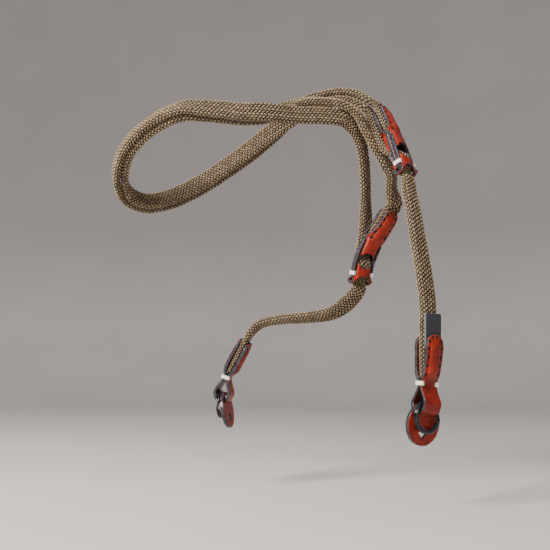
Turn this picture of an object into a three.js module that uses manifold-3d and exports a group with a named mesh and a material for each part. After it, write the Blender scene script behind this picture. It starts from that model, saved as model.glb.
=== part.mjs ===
// An adjustable neck strap of two flat braided ropes, folded leather fittings and split rings,
// hanging open as it was last worn. Millimetres, +Z up, the front towards -Y. The origin is the
// place under the top bend where the strap hangs.
//
// Each rope is sewn into an end tab, runs through the other rope's sliding keeper, goes once round
// the neck loop beside its twin, and is sewn into its own keeper.

import * as THREE from 'three';
import { mergeVertices } from 'three/addons/utils/BufferGeometryUtils.js';
import Module from 'manifold-3d';

const wasm = await Module();
wasm.setup();

// Rope
const ROPE_WIDTH = 11.5;
const ROPE_THICKNESS = 4.3;
const BENT_SHARE = 0.93; // of the width, round the top bend
const ROPE_SIDES_PER_END = 2;
const ROPE_A_STEPS = 104;
const ROPE_B_STEPS = 100;

// Leather
const LEATHER = 2.1;
const CLEARANCE = 0.3;
const ACROSS_STEPS = 6;

// Keepers: one strip folded at its foot, with a hole in the fold and one in each layer
const KEEPER_LENGTH = 52;
const KEEPER_WIDTH = 13.8;
const KEEPER_TONGUE_LENGTH = 23;
const KEEPER_TONGUE_WIDTH = 11.2;
const KEEPER_ROPE_HOLE_WIDTH = 10.8;
const KEEPER_WINDOW_LENGTH = 10.5; // the oval hole in the front layer
const KEEPER_BACK_HOLE_LENGTH = 14;
const KEEPER_BRIDGE = 5; // leather between the window and the hole in the fold
const KEEPER_FOLD_HOLE = 5.5; // how far the fold's hole reaches up the front
const KEEPER_FOLD_HOLE_BACK = 3.5;
const KEEPER_HALF_GAP = 2.8; // half the space between the layers where the rope slides

// Tabs: one strip folded round the split ring, closed by thread above it
const TAB_TONGUE_LENGTH = 28;
const TAB_LOOP_LENGTH = 18;
const TAB_WIDTH = 12.6;
const TAB_LOOP_HALF_DEPTH = 5; // from the strip's fold plane to the middle of its bulging layer
const SEWN_ROPE = 3.5; // the rope's thickness where it is sewn flat
const SEWN_LENGTH = 21;

// Label on the right tab
const LABEL_WIDTH = 12;
const LABEL_THICKNESS = 1.4;
const LABEL_ABOVE_TIP = 12;
const LABEL_UNDER_TIP = 8;
const LABEL_ASIDE = 0.8;
const LABEL_OUT = 2.7; // its back above the rope's middle

// Thread round the strip's edges
const THREAD_WALL = 0.9;
const THREAD_LENGTH = 3.2;
const THREAD_REACH = 1.3; // how far it covers each face

// Round pad and split ring
const PAD_RADIUS = 12.4;
const PAD_THICKNESS = 2.5;
const PAD_SLOT_WIDTH = 19;
const PAD_SLOT_HEIGHT = 4.8;
const PAD_RISE = 2.1; // its slot's top above the loop's foot
const PAD_BRIDGE = 2.7; // leather between the pad's top edge and its slot
const LUG_HOLE_WIDTH = 7.6;
const LUG_HOLE_HEIGHT = 8.6;
const LUG_HOLE_DROP = 5; // below the pad's middle
const RING_RADIUS = 9.7;
const RING_DROP = 2.8; // its middle below the loop's foot
const RING_WIRE_RADIAL = 2.2;
const RING_WIRE_AXIAL = 1.1;
const RING_GAP = 0.2; // between its two turns

const SEAT = SEWN_ROPE / 2 + CLEARANCE + LEATHER / 2; // middle of a tongue's layer
const KEEPER_SEAT = KEEPER_HALF_GAP + LEATHER / 2;
const RIDE = KEEPER_HALF_GAP + LEATHER + ROPE_THICKNESS / 2 + 0.4; // a rope passing behind a keeper

// Where each fitting lies. Columns: x, y, z of its middle line from tip to foot, then the direction
// that its front faces.
const KEEPER_UPPER_LINE = [
  [19, 1, 5.9, 0.8, -0.55, 0.2],
  [26.4, -9, -16.5, 0.7, -0.62, 0.33],
  [32.6, -18, -41.3, 0.64, -0.68, 0.33],
];
const KEEPER_LOWER_LINE = [
  [26.9, 10, -55.5, 0.66, -0.74, 0.1],
  [21, 12.5, -66, 0.6, -0.8, -0.1],
  [14.4, 15, -76, 0.5, -0.86, 0],
  [9.6, 17.5, -88, 0.45, -0.88, 0],
  [7, 20, -104.5, 0.42, -0.9, 0],
];
const TAB_RIGHT_LINE = [
  [41.6, -32, -136.2, 0.55, -0.83, 0],
  [41.3, -32, -163, 0.57, -0.82, 0],
  [39.8, -33, -181.6, 0.58, -0.81, 0],
];
const TAB_LEFT_LINE = [
  [-66, 50, -136.5, -0.86, 0.12, 0.45],
  [-79.3, 54, -163, -0.88, 0.14, 0.42],
  [-82.5, 55, -180.5, -0.96, 0.18, 0.2],
];

// The neck loop, from the strand that comes up the front, round to the strand that comes back.
// Columns: x, y, z of the middle between the two ropes, the direction the outer one faces, and how
// far their middles are apart.
const LOOP = [
  [-54.3, -16, -2.1, 0, -0.99, 0.12, 5],
  [-65.1, -17.5, -2.9, 0, -0.96, 0.28, 5],
  [-77.3, -18.3, -2, 0, -0.92, 0.4, 5],
  [-91.7, -19, -1.1, -0.05, -0.87, 0.5, 5],
  [-100.1, -18.5, -1, -0.15, -0.75, 0.64, 5],
  [-109.1, -16.5, -3, -0.3, -0.65, 0.7, 5],
  [-120.8, -12, -7.7, -0.45, -0.6, 0.66, 5],
  [-130.6, -6.5, -13.3, -0.58, -0.6, 0.55, 5.4],
  [-139.4, 0.5, -20.9, -0.7, -0.6, 0.4, 6],
  [-145, 10, -31.2, -0.84, -0.52, 0.1, 6.4],
  [-145.6, 18, -38.4, -0.95, -0.1, -0.2, 6.4],
  [-142.8, 25, -43.4, -0.8, 0.45, -0.4, 6],
  [-133.5, 33, -46.2, -0.4, 0.78, -0.48, 5.2],
  [-124.3, 37, -44.6, -0.12, 0.87, -0.48, 5],
  [-116.8, 39, -42.1, 0, 0.89, -0.45, 5],
  [-105.2, 41, -36.3, 0.05, 0.92, -0.38, 5],
  [-91.5, 42, -28.1, 0.1, 0.93, -0.35, 5],
  [-78.2, 41.5, -19.1, 0.12, 0.94, -0.32, 5],
  [-65.4, 40, -10.4, 0.15, 0.95, -0.28, 5],
  [-55.2, 37, -2.8, 0.18, 0.96, -0.15, 5],
  [-44.5, 32, 4.9, 0.2, 0.93, 0.3, 5.2],
  [-35.4, 26, 11, 0.05, 0.65, 0.75, 5.3],
  [-25.2, 20, 15.7, -0.2, 0.25, 0.95, 5.2],
  [-14.5, 15.5, 17.8, -0.1, 0.05, 0.98, 5],
  [-4.6, 11.5, 18.3, 0.15, -0.1, 0.97, 5],
  [4.3, 7.5, 15.8, 0.45, -0.25, 0.85, 5],
  [11, 4.5, 11.1, 0.7, -0.42, 0.55, 5],
];

// Rope A between its fittings: up from the left tab, then from behind the lower keeper to the loop.
// Columns: x, y, z, facing direction.
const ROPE_A_FROM_TAB = [
  [-57, 47, -125.8, 0.62, -0.3, -0.7],
  [-41.8, 41, -122.8, 0.1, -0.25, -0.96],
  [-24.5, 35, -121.8, 0.05, -0.4, -0.92],
  [-9.5, 28.5, -119.5, 0.2, -0.6, -0.75],
  [0.5, 24, -113, 0.36, -0.85, -0.4],
];
const ROPE_A_TO_LOOP = [
  [11.6, 19, -47.8, 0.86, -0.5, 0],
  [10.9, 13, -35.1, 0.87, -0.5, 0],
  [9.3, 7.5, -22, 0.87, -0.5, 0],
  [7, 3, -13.6, 0.84, -0.54, 0.05],
  [2.1, -2, -6.5, 0.7, -0.7, 0.1],
  [-4.4, -6.5, -2, 0.45, -0.87, 0.1],
  [-14.3, -10, -1.5, 0.15, -0.98, 0.1],
  [-31.4, -12.5, -1.8, 0.02, -1, 0.1],
];

// Rope B between its fittings: up from the right tab to the upper keeper, and down from the loop to
// the lower keeper's tongue.
const ROPE_B_FROM_TAB = [
  [41.8, -32.5, -124, 0.55, -0.83, 0],
  [41.3, -32.5, -114, 0.55, -0.83, 0],
  [40.2, -32, -104, 0.56, -0.82, 0],
  [38.6, -30.5, -91.4, 0.57, -0.81, 0.05],
  [36.6, -28, -76.5, 0.6, -0.78, 0.15],
  [35.1, -25, -62.5, 0.63, -0.74, 0.25],
  [33.6, -21, -51, 0.64, -0.69, 0.33],
];
const ROPE_B_FROM_LOOP = [
  [-47, -11.3, -0.5, 0, -0.97, 0.25],
  [-40, -7.4, 3.8, 0, -0.85, 0.5],
  [-31.3, -6.6, 8, 0, -0.5, 0.87],
  [-17, -7.6, 8.5, 0.1, -0.4, 0.9],
  [-4.3, -8, 6.3, 0.45, -0.35, 0.82],
  [4, -6, 1.1, 0.75, -0.4, 0.5],
  [9.4, -4.5, -8.1, 0.86, -0.42, 0.25],
  [13.9, -3.5, -15.5, 0.88, -0.46, 0.1],
  [20.9, -1, -26.5, 0.87, -0.48, 0],
  [26, 2.5, -34.5, 0.85, -0.52, 0],
  [26.6, 6.5, -43.5, 0.78, -0.62, 0.05],
];

const unit = (x, y, z) => new THREE.Vector3(x, y, z).normalize();

// A curve that carries, all along it, the direction that its flat side faces, and how wide and
// thick the strap is there as shares of its full size.
class Lie extends THREE.CatmullRomCurve3 {
  constructor(stations) {
    super(stations.map((station) => station.at), false, 'centripetal');
    this.stations = stations;
    this.arcLengthDivisions = 600;
  }

  frame(share) {
    const last = this.stations.length - 1;
    const place = this.getUtoTmapping(share) * last;
    const from = Math.min(Math.floor(place), last - 1);
    const part = place - from;
    const [a, b] = [this.stations[from], this.stations[from + 1]];
    const along = this.getTangentAt(share);
    const face = a.face.clone().lerp(b.face, part);
    face.addScaledVector(along, -face.dot(along)).normalize();
    return {
      at: this.getPointAt(share),
      along,
      face,
      across: face.clone().cross(along),
      wide: THREE.MathUtils.lerp(a.wide, b.wide, part),
      thick: THREE.MathUtils.lerp(a.thick, b.thick, part),
    };
  }

  computeFrenetFrames(steps) {
    const frames = { tangents: [], normals: [], binormals: [] };
    for (let step = 0; step <= steps; step += 1) {
      const { along, face, across, wide, thick } = this.frame(step / steps);
      frames.tangents.push(along);
      frames.normals.push(across.multiplyScalar(wide));
      frames.binormals.push(face.multiplyScalar(thick));
    }
    return frames;
  }

  // The point that lies across, out and along from the start of the line, straight past its ends.
  place(across, out, along) {
    const length = this.getLength();
    const onLine = THREE.MathUtils.clamp(along, 0, length);
    const frame = this.frame(onLine / length);
    return frame.at
      .addScaledVector(frame.along, along - onLine)
      .addScaledVector(frame.across, across)
      .addScaledVector(frame.face, out);
  }
}

function station(at, face, wide = 1, thick = 1) {
  return { at, face, wide, thick };
}

function free(rows, wide = 1) {
  return rows.map(([x, y, z, fx, fy, fz]) => station(new THREE.Vector3(x, y, z), unit(fx, fy, fz), wide));
}

function line(rows) {
  return new Lie(free(rows));
}

const keeperUpperLine = line(KEEPER_UPPER_LINE);
const keeperLowerLine = line(KEEPER_LOWER_LINE);
const tabRightLine = line(TAB_RIGHT_LINE);
const tabLeftLine = line(TAB_LEFT_LINE);

// A rope's station inside or beside a fitting: so far along it, and so far out of its middle.
function inFitting(fitting, along, out, wide, thick, facing = 1) {
  const share = THREE.MathUtils.clamp(along / fitting.getLength(), 0, 1);
  const face = fitting.frame(share).face.multiplyScalar(facing);
  return station(fitting.place(0, out, along), face, wide, thick);
}

// The rope sewn between a fitting's two tongues, from its cut end to just outside them.
function sewnEnd(fitting, facing) {
  const thick = SEWN_ROPE / ROPE_THICKNESS;
  return [
    inFitting(fitting, SEWN_LENGTH, 0, 0.86, thick, facing),
    inFitting(fitting, SEWN_LENGTH * 0.5, 0, 0.9, thick, facing),
    inFitting(fitting, 0, 0, 0.92, thick, facing),
    inFitting(fitting, -4, 0, 0.95, 1, facing),
  ];
}

// The rope that slides through a keeper: in at the fold, between the layers, out of the back hole
// and up behind the tongue.
function throughKeeper(fitting) {
  const bridge = KEEPER_LENGTH - KEEPER_FOLD_HOLE;
  const hole = KEEPER_BACK_HOLE_LENGTH;
  const thick = 3.9 / ROPE_THICKNESS;
  return [
    inFitting(fitting, KEEPER_LENGTH + 3, 0.2, 0.68, 0.8),
    inFitting(fitting, KEEPER_LENGTH - 2, 0, 0.58, 0.76),
    inFitting(fitting, bridge, 0, 0.75, thick),
    inFitting(fitting, bridge - 0.3 * hole, -0.9, 0.73, thick),
    inFitting(fitting, bridge - 0.66 * hole, -0.6 * RIDE, 0.76, thick),
    inFitting(fitting, bridge - 1.05 * hole, -0.94 * RIDE, 0.8, thick),
    inFitting(fitting, bridge - 1.5 * hole, -RIDE, 0.9, thick),
  ];
}

// Round the loop the two ropes lie face to face, one to each side of the table's line.
function loopStations(side) {
  const middle = line(LOOP);
  return LOOP.map(([x, y, z, fx, fy, fz, apart], index) => {
    const along = middle.getTangent(index / (LOOP.length - 1));
    const face = unit(fx, fy, fz);
    face.addScaledVector(along, -face.dot(along)).normalize();
    const at = new THREE.Vector3(x, y, z).addScaledVector(face, (side * apart) / 2);
    return station(at, face);
  });
}

const ropeALine = new Lie([
  ...sewnEnd(tabLeftLine, -1),
  ...free(ROPE_A_FROM_TAB),
  ...throughKeeper(keeperLowerLine),
  ...free(ROPE_A_TO_LOOP, BENT_SHARE),
  ...loopStations(1),
  ...sewnEnd(keeperUpperLine, 1).reverse(),
]);

const ropeBLine = new Lie([
  ...sewnEnd(tabRightLine, 1),
  ...free(ROPE_B_FROM_TAB),
  ...throughKeeper(keeperUpperLine),
  inFitting(keeperUpperLine, 10, -RIDE, 0.95, 1),
  inFitting(keeperUpperLine, -3, -RIDE + 0.8, 1, 1),
  ...loopStations(-1).reverse(),
  ...free(ROPE_B_FROM_LOOP, BENT_SHARE),
  ...sewnEnd(keeperLowerLine, 1).reverse(),
]);

// A rounded flat bar swept along a rope's line.
function ropeGeometry(lie, steps) {
  const round = ROPE_THICKNESS / 2;
  const section = new THREE.Shape();
  section.absarc(ROPE_WIDTH / 2 - round, 0, round, -Math.PI / 2, Math.PI / 2);
  section.absarc(round - ROPE_WIDTH / 2, 0, round, Math.PI / 2, 1.5 * Math.PI);
  return new THREE.ExtrudeGeometry(section, {
    steps,
    curveSegments: ROPE_SIDES_PER_END,
    bevelEnabled: false,
    extrudePath: lie,
  });
}

function solidOf(geometry) {
  const bare = geometry.clone();
  bare.deleteAttribute('normal');
  bare.deleteAttribute('uv');
  const merged = mergeVertices(bare, 1e-4);
  return new wasm.Manifold(new wasm.Mesh({
    numProp: 3,
    vertProperties: Float32Array.from(merged.getAttribute('position').array),
    triVerts: Uint32Array.from(merged.index.array),
  }));
}

function geometryOf(solid) {
  const mesh = solid.getMesh();
  const geometry = new THREE.BufferGeometry();
  geometry.setAttribute('position', new THREE.BufferAttribute(Float32Array.from(mesh.vertProperties), 3));
  geometry.setIndex(Array.from(mesh.triVerts));
  return geometry;
}

// Fittings are shaped flat, with x across, y out of the front and z down from the tip.
const SIDE_VIEW = new THREE.Matrix4().makeBasis(unit(0, 0, 1), unit(0, 1, 0), unit(-1, 0, 0));
const PLAN_VIEW = new THREE.Matrix4().makeBasis(unit(0, 0, 1), unit(1, 0, 0), unit(0, 1, 0));

function sideExtrusion(shape, width, steps = 1) {
  const geometry = new THREE.ExtrudeGeometry(shape, { depth: width, steps, bevelEnabled: false });
  return geometry.translate(0, 0, -width / 2).applyMatrix4(SIDE_VIEW);
}

function planExtrusion(shape, low, high) {
  const geometry = new THREE.ExtrudeGeometry(shape, { depth: high - low, bevelEnabled: false, curveSegments: 5 });
  return geometry.translate(0, 0, low).applyMatrix4(PLAN_VIEW);
}

// A strip of leather seen from its side: its middle line, thickened to both sides.
function stripShape(middle, pointsPerRow) {
  const curve = new THREE.SplineCurve(middle.map(([along, out]) => new THREE.Vector2(along, out)));
  const count = (middle.length - 1) * pointsPerRow;
  const outer = [];
  const inner = [];
  for (let index = 0; index <= count; index += 1) {
    const point = curve.getPoint(index / count);
    const direction = curve.getTangent(index / count);
    const side = new THREE.Vector2(-direction.y, direction.x).multiplyScalar(LEATHER / 2);
    outer.push(point.clone().add(side));
    inner.unshift(point.clone().sub(side));
  }
  return new THREE.Shape([...outer, ...inner]);
}

// The strip's outline from the front: a round-ended tongue that widens into the body.
function stripPlan(length, tongueWidth, width, tongueEnd, bodyStart) {
  const [narrow, wide] = [tongueWidth / 2, width / 2];
  const middle = (tongueEnd + bodyStart) / 2;
  const shape = new THREE.Shape();
  shape.absarc(narrow, 0, narrow, Math.PI / 2, 1.5 * Math.PI);
  shape.lineTo(tongueEnd, -narrow);
  shape.bezierCurveTo(middle, -narrow, middle, -wide, bodyStart, -wide);
  shape.lineTo(length + LEATHER, -wide);
  shape.lineTo(length + LEATHER, wide);
  shape.lineTo(bodyStart, wide);
  shape.bezierCurveTo(middle, wide, middle, narrow, tongueEnd, narrow);
  return shape;
}

function roundEndedSlot(from, to, width) {
  const radius = Math.min(width / 2, (to - from) / 2);
  const shape = new THREE.Shape();
  shape.absellipse(from + radius, 0, radius, width / 2, Math.PI / 2, 1.5 * Math.PI);
  shape.absellipse(to - radius, 0, radius, width / 2, -Math.PI / 2, Math.PI / 2);
  return shape;
}

// In a keeper the two layers meet at their edges and stand apart in the middle, round the rope.
function closeEdges(across, out, along) {
  const rise = THREE.MathUtils.smoothstep(along, 0.6 * KEEPER_TONGUE_LENGTH, 1.1 * KEEPER_TONGUE_LENGTH);
  const fall = 1 - THREE.MathUtils.smoothstep(along, KEEPER_LENGTH - 6, KEEPER_LENGTH - 2.5);
  const tube = KEEPER_ROPE_HOLE_WIDTH / 2 + 0.9;
  const open = Math.sqrt(Math.max(0.006, 1 - (across / tube) ** 2));
  const side = THREE.MathUtils.clamp(out / KEEPER_HALF_GAP, -1, 1);
  return out - side * KEEPER_HALF_GAP * (1 - open) * rise * fall;
}

// Moves a flat fitting's vertices to their place along its line.
function layAlong(geometry, lie, bend = (across, out) => out) {
  const position = geometry.getAttribute('position');
  for (let index = 0; index < position.count; index += 1) {
    const [across, out, along] = [position.getX(index), position.getY(index), position.getZ(index)];
    const point = lie.place(across, bend(across, out, along), along);
    position.setXYZ(index, point.x, point.y, point.z);
  }
  geometry.computeVertexNormals();
  return geometry;
}

function keeperGeometry(lie) {
  const foot = KEEPER_LENGTH - LEATHER / 2;
  const turn = KEEPER_LENGTH - LEATHER / 2 - KEEPER_SEAT;
  const side = [
    [0, SEAT],
    [0.3 * KEEPER_TONGUE_LENGTH, SEAT],
    [0.65 * KEEPER_TONGUE_LENGTH, SEAT],
    [KEEPER_TONGUE_LENGTH, KEEPER_SEAT],
    [0.5 * (KEEPER_TONGUE_LENGTH + turn), KEEPER_SEAT],
    [turn, KEEPER_SEAT],
    [turn + 0.72 * KEEPER_SEAT, 0.7 * KEEPER_SEAT],
  ];
  const back = side.map(([along, out]) => [along, -out]).reverse();
  const strip = sideExtrusion(stripShape([...side, [foot, 0], ...back], 3), KEEPER_WIDTH, ACROSS_STEPS);
  const position = strip.getAttribute('position');
  for (let index = 0; index < position.count; index += 1) {
    position.setY(index, closeEdges(position.getX(index), position.getY(index), position.getZ(index)));
  }
  const plan = stripPlan(
    KEEPER_LENGTH,
    KEEPER_TONGUE_WIDTH,
    KEEPER_WIDTH - 0.02,
    0.6 * KEEPER_TONGUE_LENGTH,
    KEEPER_TONGUE_LENGTH,
  );
  const reach = 2 * KEEPER_SEAT;
  const foldHole = KEEPER_LENGTH - KEEPER_FOLD_HOLE;
  const windowEnd = foldHole - KEEPER_BRIDGE;
  const window = roundEndedSlot(windowEnd - KEEPER_WINDOW_LENGTH, windowEnd, KEEPER_ROPE_HOLE_WIDTH);
  const backEnd = foldHole - 1.5;
  const backHole = roundEndedSlot(backEnd - KEEPER_BACK_HOLE_LENGTH, backEnd, KEEPER_ROPE_HOLE_WIDTH);
  const beyond = KEEPER_LENGTH + KEEPER_WIDTH;
  const foldFront = roundEndedSlot(foldHole, beyond, KEEPER_ROPE_HOLE_WIDTH);
  const foldBack = roundEndedSlot(KEEPER_LENGTH - KEEPER_FOLD_HOLE_BACK, beyond, KEEPER_ROPE_HOLE_WIDTH);
  const solid = solidOf(strip)
    .intersect(solidOf(planExtrusion(plan, -reach, reach)))
    .subtract(solidOf(planExtrusion(window, 0, reach)))
    .subtract(solidOf(planExtrusion(backHole, -reach, 0)))
    .subtract(solidOf(planExtrusion(foldFront, -0.01, reach)))
    .subtract(solidOf(planExtrusion(foldBack, -reach, 0.01)));
  return layAlong(geometryOf(solid), lie);
}

function tabGeometry(lie, underTip) {
  const neck = TAB_TONGUE_LENGTH;
  const foot = TAB_TONGUE_LENGTH + TAB_LOOP_LENGTH - LEATHER / 2;
  const pinch = LEATHER / 2 + CLEARANCE;
  const half = (seat) => [
    [0, seat],
    [0.3 * neck, seat],
    [0.75 * neck, SEAT],
    [neck - 0.1 * TAB_LOOP_LENGTH, pinch + 0.3],
    [neck + 0.08 * TAB_LOOP_LENGTH, pinch],
    [neck + 0.35 * TAB_LOOP_LENGTH, 0.82 * TAB_LOOP_HALF_DEPTH],
    [neck + 0.62 * TAB_LOOP_LENGTH, TAB_LOOP_HALF_DEPTH],
    [neck + 0.86 * TAB_LOOP_LENGTH, 0.66 * TAB_LOOP_HALF_DEPTH],
  ];
  const back = half(SEAT).map(([along, out]) => [along, -out]).reverse();
  const strip = sideExtrusion(stripShape([...half(SEAT + underTip), [foot, 0], ...back], 3), TAB_WIDTH);
  const plan = stripPlan(foot, TAB_WIDTH - 0.02, TAB_WIDTH - 0.02, 0.5 * neck, 0.6 * neck);
  const reach = 2 * TAB_LOOP_HALF_DEPTH;
  const solid = solidOf(strip).intersect(solidOf(planExtrusion(plan, -reach, reach)));
  return layAlong(geometryOf(solid), lie);
}

// Thread wound over the strip's edge: a clip-shaped band open towards the middle.
function threadGeometry(lie, side, width, halfDepth, middle, bend) {
  const edge = width / 2 + CLEARANCE;
  const reach = edge - CLEARANCE - THREAD_REACH;
  const inner = halfDepth + CLEARANCE;
  const outer = inner + THREAD_WALL;
  const corners = [
    [reach, inner],
    [edge, inner],
    [edge, -inner],
    [reach, -inner],
    [reach, -outer],
    [edge + THREAD_WALL, -outer],
    [edge + THREAD_WALL, outer],
    [reach, outer],
  ];
  const shape = new THREE.Shape(corners.map(([across, out]) => new THREE.Vector2(side * across, out)));
  const geometry = new THREE.ExtrudeGeometry(shape, { depth: THREAD_LENGTH, bevelEnabled: false });
  geometry.translate(0, 0, middle - THREAD_LENGTH / 2);
  return layAlong(geometry, lie, bend);
}

function labelGeometry(lie) {
  const corner = 1.2;
  const half = LABEL_WIDTH / 2;
  const shape = new THREE.Shape();
  shape.moveTo(LABEL_UNDER_TIP, half);
  shape.lineTo(corner - LABEL_ABOVE_TIP, half);
  shape.quadraticCurveTo(-LABEL_ABOVE_TIP, half, -LABEL_ABOVE_TIP, half - corner);
  shape.lineTo(-LABEL_ABOVE_TIP, corner - half);
  shape.quadraticCurveTo(-LABEL_ABOVE_TIP, -half, corner - LABEL_ABOVE_TIP, -half);
  shape.lineTo(LABEL_UNDER_TIP, -half);
  const label = planExtrusion(shape, LABEL_OUT, LABEL_OUT + LABEL_THICKNESS);
  return layAlong(label.translate(LABEL_ASIDE, 0, 0), lie);
}

// Pad and ring hang in a tab's loop. Their frame sits at the loop's foot, turned with the tab.
function hangingFrame(lie, { swing = 0, turn = 0, slide = 0 }) {
  const foot = TAB_TONGUE_LENGTH + TAB_LOOP_LENGTH - LEATHER;
  const { along, face, across } = lie.frame(1);
  const place = new THREE.Matrix4().makeTranslation(lie.place(slide, 0, foot));
  const hung = new THREE.Matrix4().makeRotationX(swing).multiply(new THREE.Matrix4().makeRotationZ(turn));
  return place.multiply(new THREE.Matrix4().makeBasis(across, face, along)).multiply(hung);
}

function padGeometry() {
  const middle = PAD_RADIUS - PAD_BRIDGE;
  const shape = new THREE.Shape();
  shape.absarc(middle, 0, PAD_RADIUS, 0, 2 * Math.PI);
  const slot = roundEndedSlot(0, PAD_SLOT_HEIGHT, PAD_SLOT_WIDTH);
  shape.holes.push(slot);
  const lug = new THREE.Path();
  const lugMiddle = middle + LUG_HOLE_DROP;
  const [tall, wide] = [LUG_HOLE_HEIGHT / 2, LUG_HOLE_WIDTH / 2];
  lug.moveTo(lugMiddle - tall, 0);
  lug.quadraticCurveTo(lugMiddle - 0.35 * tall, 0.35 * wide, lugMiddle, wide);
  lug.quadraticCurveTo(lugMiddle + 0.35 * tall, 0.35 * wide, lugMiddle + tall, 0);
  lug.quadraticCurveTo(lugMiddle + 0.35 * tall, -0.35 * wide, lugMiddle, -wide);
  lug.quadraticCurveTo(lugMiddle - 0.35 * tall, -0.35 * wide, lugMiddle - tall, 0);
  shape.holes.push(lug);
  const geometry = new THREE.ExtrudeGeometry(shape, { depth: PAD_THICKNESS, bevelEnabled: false, curveSegments: 12 });
  return geometry.applyMatrix4(PLAN_VIEW);
}

// A split ring is flat wire wound twice, crossing from one turn to the next in a short step.
class SplitRingCurve extends THREE.Curve {
  angle(share) {
    return THREE.MathUtils.degToRad(20 + 680 * share);
  }

  height(share) {
    const step = THREE.MathUtils.smoothstep(THREE.MathUtils.radToDeg(this.angle(share)), 342, 378);
    return (step - 0.5) * (RING_WIRE_AXIAL + RING_GAP);
  }

  getPoint(share, target = new THREE.Vector3()) {
    const radius = RING_RADIUS - RING_WIRE_RADIAL / 2;
    const angle = this.angle(share);
    return target.set(radius * Math.cos(angle), this.height(share), radius * Math.sin(angle));
  }

  getPointAt(share, target) {
    return this.getPoint(share, target);
  }

  computeFrenetFrames(steps) {
    const frames = { tangents: [], normals: [], binormals: [] };
    for (let step = 0; step <= steps; step += 1) {
      const angle = this.angle(step / steps);
      const radial = new THREE.Vector3(Math.cos(angle), 0, Math.sin(angle));
      const axial = new THREE.Vector3(0, 1, 0);
      frames.tangents.push(radial.clone().cross(axial));
      frames.normals.push(radial);
      frames.binormals.push(axial);
    }
    return frames;
  }
}

function ringGeometry() {
  const [radial, axial] = [RING_WIRE_RADIAL / 2, RING_WIRE_AXIAL / 2];
  const corner = 0.35;
  const section = new THREE.Shape([
    new THREE.Vector2(radial - corner, -axial),
    new THREE.Vector2(radial, corner - axial),
    new THREE.Vector2(radial, axial - corner),
    new THREE.Vector2(radial - corner, axial),
    new THREE.Vector2(corner - radial, axial),
    new THREE.Vector2(-radial, axial - corner),
    new THREE.Vector2(-radial, corner - axial),
    new THREE.Vector2(corner - radial, -axial),
  ]);
  return new THREE.ExtrudeGeometry(section, { steps: 44, bevelEnabled: false, extrudePath: new SplitRingCurve() });
}

function material(name, color, roughness, metalness = 0) {
  return new THREE.MeshStandardMaterial({ name, color, roughness, metalness });
}

const COLORS = { rope: 0x9c8560, leather: 0xa83420, thread: 0xede6dc, ring: 0x1c2022, label: 0x2e2f36 };

const strap = new THREE.Group();

function addPiece(name, geometry, color, roughness, metalness) {
  const piece = new THREE.Mesh(geometry, material(name, color, roughness, metalness));
  piece.name = name;
  strap.add(piece);
  return piece;
}

function addKeeper(name, lie) {
  addPiece(name, keeperGeometry(lie), COLORS.leather, 0.55);
  for (const [end, side] of [['a', 1], ['b', -1]]) {
    const middle = KEEPER_LENGTH - 0.5 * THREAD_LENGTH - KEEPER_FOLD_HOLE;
    const halfDepth = KEEPER_HALF_GAP + LEATHER + 0.3;
    const geometry = threadGeometry(lie, side, KEEPER_WIDTH, halfDepth, middle, closeEdges);
    addPiece(`thread_${name}_${end}`, geometry, COLORS.thread, 0.8);
  }
}

// A tab with its thread, and the pad and the ring side by side in its loop.
function addTab(name, lie, underTip, padLie, ringLie) {
  addPiece(`tab_${name}`, tabGeometry(lie, underTip), COLORS.leather, 0.55);
  for (const [end, side] of [['a', 1], ['b', -1]]) {
    const halfDepth = LEATHER + CLEARANCE + 0.15;
    const geometry = threadGeometry(lie, side, TAB_WIDTH, halfDepth, TAB_TONGUE_LENGTH, undefined);
    addPiece(`thread_tab_${name}_${end}`, geometry, COLORS.thread, 0.8);
  }
  const pad = addPiece(`pad_${name}`, padGeometry(), COLORS.leather, 0.55);
  const padOut = padLie.side > 0 ? CLEARANCE : -PAD_THICKNESS - CLEARANCE;
  const padPlace = new THREE.Matrix4().makeTranslation(0, padOut, -PAD_RISE);
  pad.applyMatrix4(hangingFrame(lie, padLie).multiply(padPlace));
  const ring = addPiece(`ring_${name}`, ringGeometry(), COLORS.ring, 0.2, 0.9);
  const ringOut = -padLie.side * (RING_WIRE_AXIAL + RING_GAP + CLEARANCE);
  ring.applyMatrix4(hangingFrame(lie, ringLie).multiply(new THREE.Matrix4().makeTranslation(0, ringOut, RING_DROP)));
}

addPiece('rope_a', ropeGeometry(ropeALine, ROPE_A_STEPS), COLORS.rope, 0.9);
addPiece('rope_b', ropeGeometry(ropeBLine, ROPE_B_STEPS), COLORS.rope, 0.9);
addKeeper('keeper_upper', keeperUpperLine);
addKeeper('keeper_lower', keeperLowerLine);
addTab('right', tabRightLine, LABEL_OUT + LABEL_THICKNESS - SEWN_ROPE / 2, { side: -1, swing: 0.06, slide: 0.3 }, {});
addTab('left', tabLeftLine, 0, { side: -1, swing: 0.12 }, {});
addPiece('label_right', labelGeometry(tabRightLine), COLORS.label, 0.7);

export default strap;
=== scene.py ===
"""The coiled camera strap: braided ropes, sewn leather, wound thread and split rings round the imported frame."""

import math

import bpy
import numpy as np
from mathutils import Matrix, Vector
from mathutils.bvhtree import BVHTree


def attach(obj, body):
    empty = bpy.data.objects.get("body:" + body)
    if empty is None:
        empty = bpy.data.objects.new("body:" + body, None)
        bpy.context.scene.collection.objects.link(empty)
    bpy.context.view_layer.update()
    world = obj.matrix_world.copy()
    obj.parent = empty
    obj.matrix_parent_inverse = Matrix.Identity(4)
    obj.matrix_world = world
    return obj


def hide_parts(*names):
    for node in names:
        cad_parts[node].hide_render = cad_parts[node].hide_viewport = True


MM = 0.001

# Lengths are in millimetres unless a comment says otherwise. The frame and Blender are in metres.

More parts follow.
